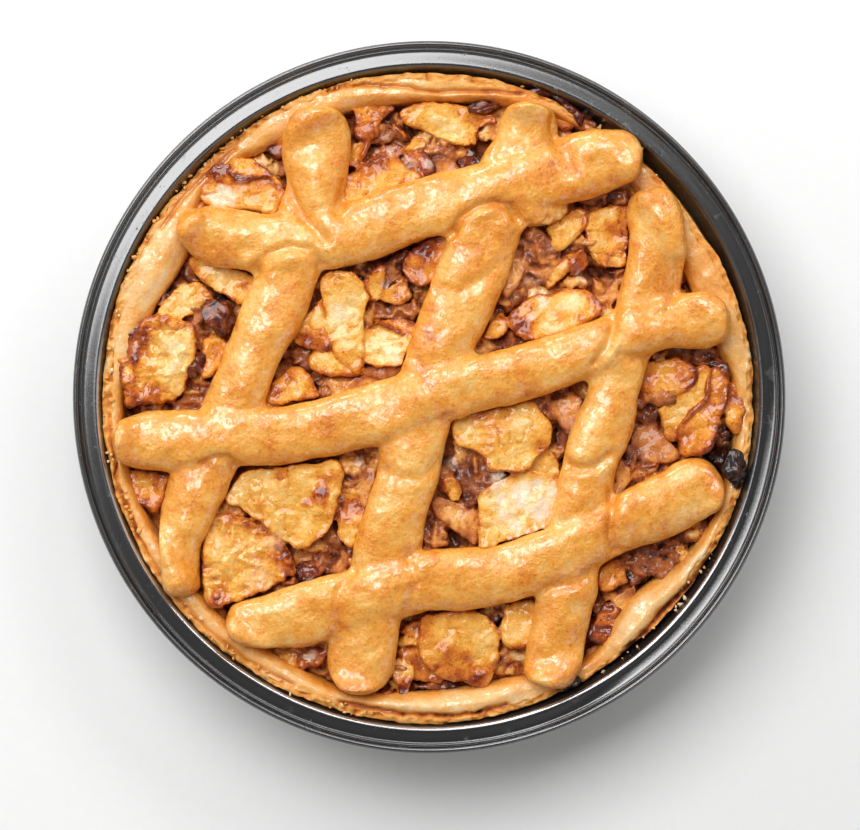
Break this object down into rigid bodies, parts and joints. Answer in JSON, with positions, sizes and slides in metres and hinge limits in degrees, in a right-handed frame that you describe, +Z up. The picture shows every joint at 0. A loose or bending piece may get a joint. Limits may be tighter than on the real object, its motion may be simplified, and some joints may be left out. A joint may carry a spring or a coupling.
{
  "type": "dutch apple pie in its tin",
  "caption": "Round dutch apple pie in a black baking tin: crust case, chunky apple filling, and a lattice of rolled dough over it.",
  "frame": {"origin": "middle of the tin's flat underside, on the surface it stands on", "axes": "+Z up, +Y towards the back of the pie, +X to its right, as seen from above"},
  "size_m": [0.24, 0.24, 0.0487],
  "materials": {
    "tin": "black non-stick coat, satin",
    "pastry": "baked shortcrust pastry, matt and sandy",
    "dough": "egg-washed baked dough, soft gloss",
    "apple": "baked apple in cinnamon syrup, glossy",
    "raisin": "baked raisin, wrinkled and glossy"
  },
  "bodies": {
    "root": {"tin": "tin", "pastry_case": "pastry", "apple_filling": "apple", "lattice": "dough", "raisin_1": "raisin", "raisin_2": "raisin", "raisin_3": "raisin", "raisin_4": "raisin", "raisin_5": "raisin"}
  },
  "joints": []
}
